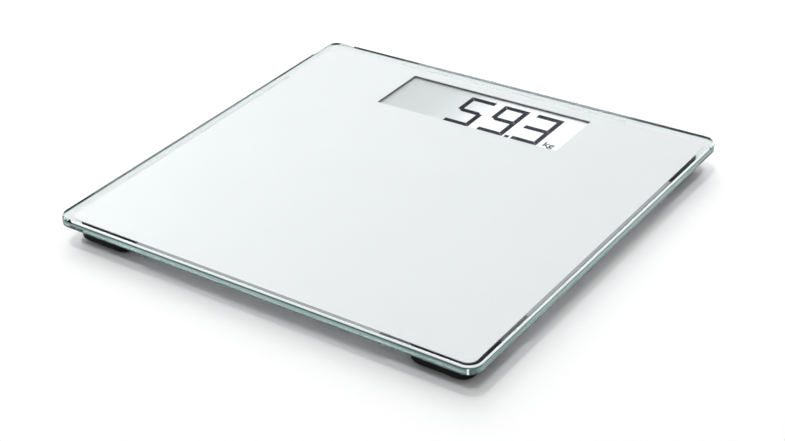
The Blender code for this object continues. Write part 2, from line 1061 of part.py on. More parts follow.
def clip(name, x, y, along_x):
    """A bridge of plastic stuck under the print, open towards it for a cable."""
    w = CABLE_W / 2 + 0.4
    top, low = UNDER, UNDER - 2.3
    body = loft(
        name,
        [
            [
                (-w - 3.2, end, top),
                (-w - 3.2, end, top - 0.8),
                (-w - 1.0, end, top - 0.9),
                (-w - 0.6, end, low),
                (w + 0.6, end, low),
                (w + 1.0, end, top - 0.9),
                (w + 3.2, end, top - 0.8),
                (w + 3.2, end, top),
                (w, end, top),
                (w, end, top - 1.5),
                (-w, end, top - 1.5),
                (-w, end, top),
            ]
            for end in (-3.5, 3.5)
        ],
        M_CLIP,
        at=(x, y, 0.0),
    )
    if along_x:
        body.rotation_euler.z = math.pi / 2
    return body


for side, tag in ((-1, "left"), (1, "right")):
    x_run = side * FOOT_C
    clip(f"cable_clip_front_{tag}", x_run, -45.0, False)
    clip(f"cable_clip_mid_{tag}", x_run * 0.74, 20.0, True)
    clip(f"cable_clip_back_{tag}", x_run, 72.0, False)
    clip(f"cable_clip_inner_{tag}", x_run * 0.74, 34.0, True)

# ---------------------------------------------------------------- tidy
for obj in bpy.data.objects:
    if obj.type == "MESH" and not obj.hide_render:
        obj.data.shade_smooth()
        obj.data.set_sharp_from_angle(angle=math.radians(35))
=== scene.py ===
import json
import math

import bmesh
import bpy
from mathutils import Matrix, Vector

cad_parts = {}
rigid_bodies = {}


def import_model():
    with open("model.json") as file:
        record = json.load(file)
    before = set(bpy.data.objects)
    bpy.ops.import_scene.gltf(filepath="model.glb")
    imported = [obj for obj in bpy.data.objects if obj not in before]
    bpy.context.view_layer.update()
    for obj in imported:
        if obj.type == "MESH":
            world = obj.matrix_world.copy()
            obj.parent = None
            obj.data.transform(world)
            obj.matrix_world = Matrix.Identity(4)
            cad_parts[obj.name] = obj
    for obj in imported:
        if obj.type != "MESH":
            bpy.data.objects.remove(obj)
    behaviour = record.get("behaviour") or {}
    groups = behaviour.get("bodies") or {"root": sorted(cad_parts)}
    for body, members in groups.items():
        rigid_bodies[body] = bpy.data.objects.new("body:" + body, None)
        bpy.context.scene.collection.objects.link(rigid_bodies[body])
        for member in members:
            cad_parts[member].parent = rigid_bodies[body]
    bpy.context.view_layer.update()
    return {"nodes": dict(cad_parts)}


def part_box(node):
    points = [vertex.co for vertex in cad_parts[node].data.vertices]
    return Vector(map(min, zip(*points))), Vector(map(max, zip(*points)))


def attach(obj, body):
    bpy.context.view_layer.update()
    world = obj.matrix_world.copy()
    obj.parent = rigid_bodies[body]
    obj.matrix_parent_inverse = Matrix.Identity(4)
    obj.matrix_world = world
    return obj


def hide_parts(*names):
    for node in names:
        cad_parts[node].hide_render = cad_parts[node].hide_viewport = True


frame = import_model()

# ------------------------------------------------------------------ the frame
# Lengths here are in millimetres and turned into metres by MM. +X is the
# user's right, +Y goes to the display side, +Z is up, and z = 0 is the floor.
MM = 0.001
NODES = frame["nodes"]
CORNERS = {
    "front_left": (-1, -1),
    "front_right": (1, -1),
    "back_left": (-1, 1),
    "back_right": (1, 1),
}


def span(node):
    """Lowest and highest corner of a CAD node, in millimetres."""
    lo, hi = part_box(node)
    return [v / MM for v in lo], [v / MM for v in hi]


GLASS_LO, GLASS_HI = span("glass_platform")
TOP = GLASS_HI[2]
BASE = GLASS_LO[2]
HALF = GLASS_HI[0]
PLATE_R = 9.0
BEVEL = 1.5
ARRIS = 0.3
PRINT_LO, PRINT_HI = span("underside_print")
PRINT_HALF = PRINT_HI[0]
WIN_X = 68.8
WIN_Y0, WIN_Y1 = 86.1, 134.9
LCD_LO, LCD_HI = span("lcd_cell")
LCD_TOP = LCD_HI[2]
HOUSE_LO, HOUSE_HI = span("electronics_housing")
COVER_LO, COVER_HI = span("housing_cover")
UNDER = HOUSE_HI[2]


# ------------------------------------------------------------------ materials
class Shade:
    """A material's node tree, built up a node at a time."""

    def __init__(self, name):
        self.mat = bpy.data.materials.new(name)
        self.mat.use_nodes = True
        self.nt = self.mat.node_tree
        self.nt.nodes.clear()
        self.out = self.nt.nodes.new("ShaderNodeOutputMaterial")
        self.p = self.nt.nodes.new("ShaderNodeBsdfPrincipled")
        self.nt.links.new(self.p.outputs["BSDF"], self.out.inputs["Surface"])
        self.coord = self.nt.nodes.new("ShaderNodeTexCoord")
        self.place = self.coord.outputs["Object"]

    def node(self, kind, **values):
        n = self.nt.nodes.new(kind)
        for k, v in values.items():
            setattr(n, k, v)
        return n

    def link(self, a, b):
        self.nt.links.new(a, b)

    def set(self, **values):
        for k, v in values.items():
            socket = self.p.inputs[k.replace("_", " ")]
            socket.default_value = (*v, 1.0) if isinstance(v, tuple) else v

    def stretch(self, sx, sy, sz, turn=(0, 0, 0)):
        m = self.node("ShaderNodeMapping")
        m.inputs["Scale"].default_value = (sx, sy, sz)
        m.inputs["Rotation"].default_value = turn
        self.link(self.place, m.inputs["Vector"])
        return m.outputs["Vector"]

    def noise(self, scale, detail=3.0, rough=0.55, at=None, lacunarity=2.0):
        n = self.node("ShaderNodeTexNoise")
        n.inputs["Scale"].default_value = scale
        n.inputs["Detail"].default_value = detail
        n.inputs["Roughness"].default_value = rough
        n.inputs["Lacunarity"].default_value = lacunarity
        self.link(at or self.place, n.inputs["Vector"])
        return n.outputs["Fac"]

    def cells(self, scale, feature="F1", at=None):
        n = self.node("ShaderNodeTexVoronoi", feature=feature)
        n.inputs["Scale"].default_value = scale
        self.link(at or self.place, n.inputs["Vector"])
        return n.outputs["Distance"]

    def ramp(self, source, stops, mode="LINEAR"):
        """Colour ramp from (place, colour) stops."""
        n = self.node("ShaderNodeValToRGB")
        n.color_ramp.interpolation = mode
        el = n.color_ramp.elements
        while len(el) > 1:
            el.remove(el[-1])
        for i, (at, colour) in enumerate(stops):
            e = el[0] if i == 0 else el.new(at)
            e.position = at
            e.color = (*colour, 1.0) if isinstance(colour, tuple) else (colour,) * 3 + (1.0,)
        self.link(source, n.inputs["Fac"])
        return n.outputs["Color"]

    def fit(self, source, a, b, c=0.0, d=1.0):
        """Maps a..b onto c..d, held at the ends."""
        n = self.node("ShaderNodeMapRange")
        for name, v in (("From Min", a), ("From Max", b), ("To Min", c), ("To Max", d)):
            n.inputs[name].default_value = v
        self.link(source, n.inputs["Value"])
        return n.outputs["Result"]

    def axis(self, which):
        n = self.node("ShaderNodeSeparateXYZ")
        self.link(self.place, n.inputs["Vector"])
        return n.outputs[which]

    def facing(self, which):
        """A component of the surface's own normal."""
        g = self.node("ShaderNodeNewGeometry")
        n = self.node("ShaderNodeSeparateXYZ")
        self.link(g.outputs["Normal"], n.inputs["Vector"])
        return n.outputs[which]

    def math(self, op, a, b=None, clamp=False):
        n = self.node("ShaderNodeMath", operation=op, use_clamp=clamp)
        for i, v in enumerate((a, b)):
            if v is None:
                continue
            if isinstance(v, (int, float)):
                n.inputs[i].default_value = v
            else:
                self.link(v, n.inputs[i])
        return n.outputs[0]

    def blend(self, fac, a, b, mode="MIX"):
        n = self.node("ShaderNodeMix", data_type="RGBA", blend_type=mode)
        n.clamp_factor = True
        if isinstance(fac, (int, float)):
            n.inputs[0].default_value = fac
        else:
            self.link(fac, n.inputs[0])
        for i, v in ((6, a), (7, b)):
            if isinstance(v, tuple):
                n.inputs[i].default_value = (*v, 1.0)
            else:
                self.link(v, n.inputs[i])
        return n.outputs[2]

    def colour(self, socket):
        self.link(socket, self.p.inputs["Base Color"])

    def rough(self, socket):
        self.link(socket, self.p.inputs["Roughness"])

    def bump(self, height, strength, distance):
        n = self.node("ShaderNodeBump")
        n.inputs["Strength"].default_value = strength
        n.inputs["Distance"].default_value = distance
        self.link(height, n.inputs["Height"])
        self.link(n.outputs["Normal"], self.p.inputs["Normal"])


def tint(c, k):
    return tuple(min(1.0, max(0.0, v * k)) for v in c)


def moulded(name, colour, rough=0.5, grain=0.00003, spread=0.06, scale=2600.0):
    """Moulded plastic: a spark-eroded grain, and a slow change of shade."""
    s = Shade(name)
    slow = s.noise(55.0, 3.0)
    fine = s.cells(scale)
    s.colour(s.ramp(slow, [(0.25, tint(colour, 1 - spread)), (0.75, tint(colour, 1 + spread))]))
    s.rough(s.fit(s.noise(180.0, 4.0), 0.3, 0.7, rough - 0.06, rough + 0.08))
    s.bump(s.math("ADD", fine, s.math("MULTIPLY", s.noise(scale * 0.8, 2.0), 0.6)), 0.55, grain)
    return s


def black_moulding():
    s = moulded("black_moulding", (0.0060, 0.0060, 0.0065), 0.50, 0.00004, 0.15)
    s.set(Specular_IOR_Level=0.06)
    return s.mat


def make_glass():
    s = Shade("float_glass")
    s.set(Roughness=0.0, IOR=1.52, Transmission_Weight=1.0)
    # the cut edges are tinted green, as glass edges are; the dark line at each arris, the lighter band between them
    # and the darker upper part of each face are painted reflection and shade, stronger on the faces across Y than on
    # those across X
    z = s.fit(s.axis("Z"), BASE * MM, TOP * MM)
    ends = [
        (0.820, (0.700, 0.760, 0.750)),
        (0.870, (0.960, 0.985, 0.980)),
        (0.960, (0.960, 0.985, 0.980)),
        (0.995, (0.980, 0.990, 0.990)),
        (1.000, (1.0, 1.0, 1.0)),
    ]
    front = s.ramp(
        z,
        [
            (0.000, (0.003, 0.008, 0.007)),
            (0.080, (0.003, 0.008, 0.007)),
            (0.160, (0.024, 0.052, 0.046)),
            (0.270, (0.190, 0.290, 0.275)),
            (0.390, (0.290, 0.440, 0.420)),
            (0.490, (0.110, 0.230, 0.210)),
            (0.600, (0.022, 0.072, 0.058)),
            (0.680, (0.002, 0.006, 0.005)),
            (0.760, (0.001, 0.004, 0.003)),
            *ends,
        ],
    )
    # the faces across X get their own, dimmer painted bands
    side = s.ramp(
        z,
        [
            (0.000, (0.001, 0.006, 0.004)),
            (0.110, (0.002, 0.012, 0.009)),
            (0.180, (0.020, 0.090, 0.065)),
            (0.290, (0.068, 0.170, 0.140)),
            (0.420, (0.073, 0.178, 0.150)),
            (0.585, (0.052, 0.128, 0.118)),
            (0.700, (0.016, 0.042, 0.037)),
            (0.730, (0.003, 0.008, 0.007)),
            (0.760, (0.002, 0.006, 0.005)),
            *ends,
        ],
    )
    across = s.math("ABSOLUTE", s.facing("X"))
    edge = s.blend(s.fit(across, 0.45, 0.55), front, side)
    # long faint shades run along the saw-cut faces
    along = s.noise(26.0, 2.0, at=s.stretch(1.0, 1.0, 0.02))
    streak = s.ramp(along, [(0.30, (0.86, 0.88, 0.88)), (0.62, (1.0, 1.0, 1.0))])
    upright = s.fit(s.math("ABSOLUTE", s.facing("Z")), 0.05, 0.15, 1.0, 0.0)
    edge = s.blend(upright, edge, s.blend(1.0, edge, streak, "MULTIPLY"))
    # painted shade on a rounded corner: it is darkened across its middle, and a painted bright upright line is added
    # below
    lens = s.ramp(
        across,
        [
            (0.20, (1.0, 1.0, 1.0)),
            (0.38, (0.40, 0.44, 0.44)),
            (0.60, (0.15, 0.19, 0.19)),
            (0.84, (0.17, 0.21, 0.21)),
            (0.96, (1.0, 1.0, 1.0)),
        ],
    )
    edge = s.blend(upright, edge, s.blend(1.0, edge, lens, "MULTIPLY"))
    # painted shade: over the black feet the upright faces are darkened
    beside = s.math("MINIMUM", s.math("ABSOLUTE", s.axis("X")), s.math("ABSOLUTE", s.axis("Y")))
    painted_foot_shade = s.math("MULTIPLY", upright, s.fit(beside, 0.094, 0.108))
    edge = s.blend(painted_foot_shade, edge, s.blend(1.0, edge, (0.50, 0.54, 0.54), "MULTIPLY"))
    # painted highlight: a bright upright line down the middle of each rounded corner, fading out at the bottom of the
    # face
    corner_highlight = s.ramp(across, [(0.42, 0.0), (0.45, 1.0), (0.52, 1.0), (0.56, 0.0)])
    corner_highlight = s.math("MULTIPLY", corner_highlight, s.fit(z, 0.05, 0.12))
    edge = s.blend(s.math("MULTIPLY", corner_highlight, upright), edge, (0.80, 0.90, 0.88))    # underneath, the bare rim is tinted with a painted shade, darker towards the glass's edge, for the shaded floor seen through it
    far = s.math("MAXIMUM", s.math("ABSOLUTE", s.axis("X")), s.math("ABSOLUTE", s.axis("Y")))
    low = s.fit(z, 0.02, 0.04, 1.0, 0.0)
    rim_painted_shade = s.ramp(
        s.fit(far, 0.1425, HALF * MM),
        [(0.0, (1.0, 1.0, 1.0)), (0.42, (0.97, 0.99, 0.99)), (0.50, (0.80, 0.90, 0.885)), (1.0, (0.74, 0.85, 0.835))],
    )
    flat = s.blend(low, (1.0, 1.0, 1.0), rim_painted_shade)
    side_on = s.fit(s.math("ABSOLUTE", s.facing("Z")), 0.90, 0.97, 1.0, 0.0)
    s.colour(s.blend(side_on, flat, edge))
    # lamps pass without a caustic, a little weakened in the rim
    clear = s.node("ShaderNodeBsdfTransparent")
    rim = s.ramp(
        s.fit(far, 0.1425, HALF * MM),
        [(0.0, (0.99, 0.99, 0.99)), (0.08, (0.55, 0.56, 0.56)), (0.80, (0.53, 0.54, 0.54)), (1.0, (0.40, 0.42, 0.42))],
    )
    s.link(s.blend(low, (0.985, 0.99, 0.99), rim), clear.inputs["Color"])
    path = s.node("ShaderNodeLightPath")
    mix = s.node("ShaderNodeMixShader")
    s.link(path.outputs["Is Shadow Ray"], mix.inputs["Fac"])
    s.link(s.p.outputs["BSDF"], mix.inputs[1])
    s.link(clear.outputs["BSDF"], mix.inputs[2])
    s.link(mix.outputs["Shader"], s.out.inputs["Surface"])
    inside = s.node("ShaderNodeVolumeAbsorption")
    inside.inputs["Color"].default_value = (0.60, 0.92, 0.84, 1.0)
    inside.inputs["Density"].default_value = 6.0
    s.link(inside.outputs["Volume"], s.out.inputs["Volume"])
    return s.mat


def make_print():
    """Two coats of white screen ink fired onto the glass."""
    s = Shade("white_screen_print")
    s.set(Specular_IOR_Level=0.25)
    mottled = s.noise(26.0, 3.0)
    mesh = s.noise(5200.0, 1.0)
    seen = s.ramp(mottled, [(0.3, (0.836, 0.838, 0.850)), (0.7, (0.846, 0.848, 0.858))])
    # the second coat, seen from below, is a little greyer and less even
    below = s.ramp(s.noise(140.0, 4.0), [(0.3, (0.62, 0.65, 0.66)), (0.7, (0.70, 0.72, 0.72))])
    s.colour(s.blend(s.fit(s.facing("Z"), -0.2, 0.2), below, seen))
    s.rough(s.fit(mesh, 0.3, 0.7, 0.50, 0.62))
    s.bump(mesh, 0.2, 0.00001)
    return s.mat


def make_border(name, cover):
    """A halftone of fine white dots round the full white area, partly painted light: it lightens the shaded floor seen
    through the clear rim.
    """
    s = Shade(name)
    s.set(Specular_IOR_Level=0.2, Alpha=cover)
    dots = s.cells(2200.0)
    s.colour(s.ramp(dots, [(0.1, (0.84, 0.86, 0.86)), (0.6, (0.78, 0.81, 0.81))]))
    s.rough(s.fit(dots, 0.0, 0.6, 0.5, 0.62))
    return s.mat


def make_display():
    """Reflective display: a grey ground with a painted glare that whitens it towards the right, panes of thin glass at
    the sides and a silvery back."""
    s = Shade("display_cell")
    s.set(Specular_IOR_Level=0.2, Emission_Strength=0.32)
    x = s.axis("X")
    # painted glare: the grey ground is painted whiter towards the right
    ground = s.ramp(
        s.fit(x, -0.070, 0.070),
        [
            (0.00, (0.600, 0.610, 0.620)),
            (0.22, (0.630, 0.640, 0.650)),
            (0.36, (0.700, 0.710, 0.720)),
            (0.46, (0.860, 0.862, 0.870)),
            (0.55, (0.975, 0.975, 0.980)),
            (1.00, (0.990, 0.990, 0.990)),
        ],
        "EASE",
    )
    grain = s.noise(2400.0, 2.0)
    ground = s.blend(0.05, ground, s.ramp(grain, [(0.3, (0.5, 0.5, 0.5)), (0.7, (1.0, 1.0, 1.0))]), "MULTIPLY")
    pane = s.ramp(s.noise(300.0, 3.0), [(0.3, (0.16, 0.24, 0.21)), (0.7, (0.22, 0.31, 0.28))])
    back = s.ramp(s.noise(90.0, 3.0), [(0.3, (0.44, 0.45, 0.46)), (0.7, (0.56, 0.57, 0.58))])
    up = s.fit(s.facing("Z"), 0.6, 0.8)
    down = s.fit(s.facing("Z"), -0.8, -0.6, 1.0, 0.0)
    s.colour(s.blend(down, s.blend(up, pane, ground), back))
    # painted glow: the top gives out faint light in the ground's colour, painted glare included
    s.link(s.blend(up, (0.0, 0.0, 0.0), ground), s.p.inputs["Emission Color"])
    s.rough(s.fit(grain, 0.3, 0.7, 0.30, 0.38))
    return s.mat


def make_segments():
    s = Shade("display_segments")
    s.set(Specular_IOR_Level=0.1)
    x = s.axis("X")
    # painted glare: the strokes are greyer towards the right, as the display's ground is
    dark = s.ramp(
        s.fit(x, -0.020, 0.066),
        [
            (0.0, (0.003, 0.005, 0.014)),
            (0.35, (0.012, 0.014, 0.030)),
            (0.7, (0.036, 0.036, 0.060)),
            (1.0, (0.050, 0.050, 0.076)),
        ],
    )
    grain = s.noise(1500.0, 3.0)
    s.colour(s.blend(0.35, dark, s.ramp(grain, [(0.3, (0.3, 0.3, 0.3)), (0.7, (1.0, 1.0, 1.0))]), "MULTIPLY"))
    s.rough(s.fit(grain, 0.3, 0.7, 0.30, 0.40))
    return s.mat


def make_foam():
    s = Shade("window_foam")
    s.set(Specular_IOR_Level=0.2)
    pores = s.cells(2600.0)
    s.colour(s.ramp(pores, [(0.05, (0.035, 0.034, 0.034)), (0.6, (0.085, 0.083, 0.082))]))
    s.rough(s.fit(pores, 0.0, 0.6, 0.85, 0.95))
    s.bump(pores, 0.8, 0.00012)
    return s.mat


def make_rubber():
    s = Shade("foot_rubber")
    s.set(Specular_IOR_Level=0.35)
    wear = s.noise(230.0, 5.0, 0.65)
    s.colour(s.ramp(wear, [(0.30, (0.010, 0.010, 0.011)), (0.62, (0.020, 0.020, 0.021)), (0.85, (0.050, 0.049, 0.047))]))
    s.rough(s.fit(wear, 0.3, 0.7, 0.70, 0.88))
    s.bump(s.noise(3800.0, 3.0), 0.5, 0.00004)
    return s.mat


def metal(name, colour, rough, brushed=None, spots=0.08):
    s = Shade(name)
    s.set(Metallic=1.0)
    at = s.stretch(*brushed) if brushed else None
    lines = s.noise(1400.0, 3.0, at=at)
    patch = s.noise(160.0, 3.0)
    s.colour(s.ramp(patch, [(0.3, tint(colour, 1 - spots)), (0.7, tint(colour, 1 + spots))]))
    s.rough(s.fit(s.math("ADD", s.math("MULTIPLY", lines, 0.6), s.math("MULTIPLY", patch, 0.4)), 0.3, 0.7, rough - 0.07, rough + 0.1))
    s.bump(lines, 0.25, 0.00002)
    return s


def make_gauge():
    """Polyimide film with the folded grid of the foil gauge etched on it."""
    s = Shade("gauge_film")
    w = s.node("ShaderNodeTexWave", wave_type="BANDS", bands_direction="X", wave_profile="SIN")
    w.inputs["Scale"].default_value = 520.0
    w.inputs["Distortion"].default_value = 0.0
    s.link(s.place, w.inputs["Vector"])
    grid = s.ramp(w.outputs["Fac"], [(0.45, 0.0), (0.55, 1.0)])
    film = s.ramp(s.noise(300.0, 2.0), [(0.3, (0.62, 0.26, 0.05)), (0.7, (0.74, 0.34, 0.08))])
    s.colour(s.blend(grid, film, (0.72, 0.66, 0.55)))
    s.rough(s.fit(w.outputs["Fac"], 0.0, 1.0, 0.32, 0.24))
    s.bump(w.outputs["Fac"], 0.4, 0.00003)
    return s.mat


def make_board():
    """Solder mask over copper: tracks that run in steps, and a bare fibre
    edge."""
    s = Shade("circuit_board")
    s.set(Coat_Weight=0.4, Coat_Roughness=0.25)
    b = s.node("ShaderNodeTexBrick", offset=0.37, squash=1.0)
    b.inputs["Scale"].default_value = 250.0
    b.inputs["Mortar Size"].default_value = 0.10
    b.inputs["Mortar Smooth"].default_value = 0.1
    b.inputs["Brick Width"].default_value = 1.7
    b.inputs["Row Height"].default_value = 0.42
    s.link(s.place, b.inputs["Vector"])
    tracks = b.outputs["Fac"]
    over = s.fit(s.noise(60.0, 1.0), 0.47, 0.50)
    tracks = s.math("MULTIPLY", tracks, over)
    mask = s.ramp(s.noise(220.0, 3.0), [(0.3, (0.010, 0.085, 0.030)), (0.7, (0.014, 0.105, 0.038))])
    s.colour(
        s.blend(
            s.fit(s.math("ABSOLUTE", s.facing("Z")), 0.5, 0.8),
            (0.42, 0.38, 0.20),
            s.blend(tracks, mask, (0.030, 0.190, 0.070)),
        )
    )
    s.rough(s.fit(tracks, 0.0, 1.0, 0.42, 0.34))
    s.bump(tracks, 0.5, 0.00003)
    return s.mat


def make_zebra():
    s = Shade("zebra_rubber")
    w = s.node("ShaderNodeTexWave", wave_type="BANDS", bands_direction="X", wave_profile="SIN")
    w.inputs["Scale"].default_value = 900.0
    s.link(s.place, w.inputs["Vector"])
    middle = s.fit(s.math("ABSOLUTE", s.math("SUBTRACT", s.axis("Y"), 0.084)), 0.0003, 0.0004, 1.0, 0.0)
    dark = s.math("MULTIPLY", s.ramp(w.outputs["Fac"], [(0.45, 0.0), (0.55, 1.0)]), middle)
    s.colour(s.blend(dark, (0.55, 0.22, 0.20), (0.03, 0.03, 0.035)))
    s.rough(s.fit(s.noise(900.0, 2.0), 0.3, 0.7, 0.55, 0.7))
    return s.mat


def make_film():
    s = Shade("reflector_film")
    s.set(Metallic=0.85)
    fibre = s.noise(900.0, 4.0, at=s.stretch(1.0, 6.0, 1.0))
    s.colour(s.ramp(fibre, [(0.3, (0.74, 0.75, 0.77)), (0.7, (0.88, 0.89, 0.90))]))
    s.rough(s.fit(fibre, 0.3, 0.7, 0.32, 0.46))
    s.bump(fibre, 0.3, 0.00002)
    return s.mat


def make_epoxy():
    s = Shade("chip_epoxy")
    ripple = s.noise(420.0, 3.0)
    s.colour(s.ramp(ripple, [(0.3, (0.006, 0.006, 0.007)), (0.7, (0.014, 0.014, 0.015))]))
    s.rough(s.fit(ripple, 0.3, 0.7, 0.18, 0.34))
    s.bump(ripple, 0.4, 0.0001)
    return s.mat


def lead_cover(name, colour):
    s = Shade(name)
    s.set(Specular_IOR_Level=0.4)
    slow = s.noise(120.0, 3.0)
    s.colour(s.ramp(slow, [(0.3, tint(colour, 0.86)), (0.7, tint(colour, 1.08))]))
    s.rough(s.fit(s.noise(900.0, 2.0), 0.3, 0.7, 0.38, 0.52))
    s.bump(s.noise(2200.0, 2.0), 0.3, 0.00002)
    return s.mat


def make_tape():
    s = Shade("adhesive_tape")
    cell = s.cells(1300.0)
    s.colour(s.ramp(cell, [(0.1, (0.10, 0.10, 0.105)), (0.7, (0.17, 0.17, 0.175))]))
    s.rough(s.fit(cell, 0.0, 0.7, 0.6, 0.8))
    s.bump(cell, 0.5, 0.00005)
    return s.mat


M = {
    "glass": make_glass(),
    "print": make_print(),
    # painted light: the halftone strips, in a denser copy for the front and right and a thinner one for the back and
    # left
    "border": make_border("halftone_border", 0.38),
    "border_thin": make_border("halftone_border_thin", 0.12),
    "display": make_display(),
    "segments": make_segments(),
    "foam": make_foam(),
    "rubber": make_rubber(),
    "foot": black_moulding(),
    "case": moulded("grey_moulding", (0.48, 0.50, 0.52), 0.52, 0.00004, 0.03).mat,
    "door": moulded("door_moulding", (0.45, 0.47, 0.49), 0.50, 0.00004, 0.03).mat,
    "button": moulded("button_moulding", (0.075, 0.080, 0.088), 0.45, 0.00003, 0.08).mat,
    "clip": moulded("clip_moulding", (0.74, 0.74, 0.72), 0.46, 0.00002, 0.03).mat,
    "steel": metal("spring_steel", (0.50, 0.49, 0.47), 0.32, (0.04, 1.0, 1.0)).mat,
    "nickel": metal("nickel_plate", (0.68, 0.66, 0.62), 0.22).mat,
    "coin": metal("cell_can", (0.72, 0.71, 0.69), 0.24, None, 0.04).mat,
    "zinc": metal("zinc_steel", (0.58, 0.59, 0.60), 0.30, None, 0.10).mat,
    "gauge": make_gauge(),
    "board": make_board(),
    "zebra": make_zebra(),
    "film": make_film(),
    "epoxy": make_epoxy(),
    "tape": make_tape(),
    "bezel": moulded("white_moulding", (0.62, 0.63, 0.64), 0.5, 0.00003, 0.03).mat,
    "red": lead_cover("lead_red", (0.50, 0.030, 0.025)),
    "white": lead_cover("lead_white", (0.74, 0.73, 0.70)),
    "black": lead_cover("lead_black", (0.020, 0.020, 0.022)),
    "solder": metal("solder_joint", (0.66, 0.66, 0.67), 0.28, None, 0.10).mat,
}


# ------------------------------------------------------------------ mesh tools
def put(name, mesh, mat, body="platform", slot=None, replaces=()):
    mesh.materials.append(M[mat])
    obj = bpy.data.objects.new(name, mesh)
    bpy.context.scene.collection.objects.link(obj)
    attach(obj, body)
    if replaces:
        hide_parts(*replaces)
    return obj


def rounded(w, d, r, seg, cx=0.0, cy=0.0, out=0.0):
    """Points of a rounded rectangle, each with its outward direction."""
    pts = []
    for qx, qy, a0 in ((1, 1, 0), (-1, 1, 90), (-1, -1, 180), (1, -1, 270)):
        for i in range(seg + 1):
            a = math.radians(a0 + 90.0 * i / seg)
            c, s = math.cos(a), math.sin(a)
            pts.append(
                (
                    cx + qx * (w / 2 - r) + (r + out) * c,
                    cy + qy * (d / 2 - r) + (r + out) * s,
                    c,
                    s,
                )
            )
    return pts


def stations(points, radii, seg=4):
    """(outward, height) points of a profile, bottom to top, with its corners
    rounded, each with its normal."""
    made = []
    dirs = []
    for a, b in zip(points, points[1:]):
        length = math.hypot(b[0] - a[0], b[1] - a[1])
        dirs.append(((b[0] - a[0]) / length, (b[1] - a[1]) / length, length))
    normal = [(d[1], -d[0]) for d in dirs]
    made.append((*points[0], *normal[0]))
    for i in range(1, len(points) - 1):
        u, v = dirs[i - 1], dirs[i]
        cross = u[0] * v[1] - u[1] * v[0]
        turn = math.atan2(cross, u[0] * v[0] + u[1] * v[1])
        r = radii[i - 1]
        cut = min(r * math.tan(abs(turn) / 2), u[2] * 0.48, v[2] * 0.48)
        r = cut / math.tan(abs(turn) / 2)
        side = 1.0 if turn > 0 else -1.0
        px, pz = points[i][0] - u[0] * cut, points[i][1] - u[1] * cut
        n0 = normal[i - 1]
        cx, cz = px - side * r * n0[0], pz - side * r * n0[1]
        for k in range(seg + 1):
            t = turn * k / seg
            nx = n0[0] * math.cos(t) - n0[1] * math.sin(t)
            nz = n0[0] * math.sin(t) + n0[1] * math.cos(t)
            made.append((cx + side * r * nx, cz + side * r * nz, nx, nz))
    made.append((*points[-1], *normal[-1]))
    return made


def slab(name, w, d, r, profile, seg, mat, cx=0.0, cy=0.0, **kw):
    """A solid with a rounded-rectangle plan and a smooth profile, with exact
    normals. The profile's first and last stations are flat, at its caps."""
    verts, faces, normals = [], [], []
    rows = []
    for o, z, nx, nz in profile:
        row = []
        for x, y, c, s in rounded(w, d, r, seg, cx, cy, o):
            row.append(len(verts))
            verts.append((x * MM, y * MM, z * MM))
            normals.append((c * nx, s * nx, nz))
        rows.append(row)
    n = len(rows[0])
    loops = []
    for a, b in zip(rows, rows[1:]):
        for i in range(n):
            j = (i + 1) % n
            faces.append((a[i], a[j], b[j], b[i]))
            loops += [normals[k] for k in faces[-1]]
    faces.append(tuple(reversed(rows[0])))
    loops += [(0, 0, -1)] * n
    faces.append(tuple(rows[-1]))
    loops += [(0, 0, 1)] * n
    mesh = bpy.data.meshes.new(name)
    mesh.from_pydata(verts, [], faces)
    mesh.update()
    mesh.shade_smooth()
    mesh.normals_split_custom_set([Vector(v).normalized() for v in loops])
    return put(name, mesh, mat, **kw)


def pierced(name, outer, holes, z0, z1, mat, bevel=0.0, **kw):
    """A flat plate with holes, from closed outlines."""
    bm = bmesh.new()
    edges = []
    loops = []
    for loop in [outer, *holes]:
        vs = [bm.verts.new((x * MM, y * MM, z1 * MM)) for x, y in loop]
        loops.append(vs)
        for a, b in zip(vs, vs[1:] + vs[:1]):
            edges.append(bm.edges.new((a, b)))
    bmesh.ops.triangle_fill(bm, edges=edges, use_beauty=True, use_dissolve=False)
    top = list(bm.faces)
    for f in top:
        if f.normal.z < 0:
            f.normal_flip()
    made = bmesh.ops.extrude_face_region(bm, geom=top)
    for v in [g for g in made["geom"] if isinstance(g, bmesh.types.BMVert)]:
        v.co.z = z0 * MM
    bmesh.ops.recalc_face_normals(bm, faces=bm.faces)
    bmesh.ops.dissolve_limit(bm, angle_limit=0.001, verts=bm.verts, edges=bm.edges)
    mesh = bpy.data.meshes.new(name)
    bm.to_mesh(mesh)
    bm.free()
    mesh.shade_smooth()
    mesh.set_sharp_from_angle(angle=math.radians(30))
    obj = put(name, mesh, mat, **kw)
    if bevel:
        soften(obj, bevel)
    return obj


def soften(obj, width, seg=2, angle=40):
    """Rounds a piece's edges a little."""
    m = obj.modifiers.new("edges", "BEVEL")
    m.width = width * MM
    m.segments = seg
    m.limit_method = "ANGLE"
    m.angle_limit = math.radians(angle)
    m.harden_normals = False
    return obj


def xy(points):
    return [(p[0], p[1]) for p in points]


def prism_mesh(name, outlines, z0, z1):
    """Several closed outlines, each made a prism, in one mesh."""
    bm = bmesh.new()
    for outline in outlines:
        low = [bm.verts.new((x * MM, y * MM, z0 * MM)) for x, y in outline]
        top = [bm.verts.new((x * MM, y * MM, z1 * MM)) for x, y in outline]
        n = len(low)
        for i in range(n):
            j = (i + 1) % n
            bm.faces.new((low[i], low[j], top[j], top[i]))
        bm.faces.new(list(reversed(low)))
        bm.faces.new(top)
    bmesh.ops.recalc_face_normals(bm, faces=bm.faces)
    mesh = bpy.data.meshes.new(name)
    bm.to_mesh(mesh)
    bm.free()
    return mesh


# ------------------------------------------------------------------ glass plate
# the opening in the print, and the ring of foam between it and the case
SEEN = (136.9, 47.7, -0.25, 110.15)

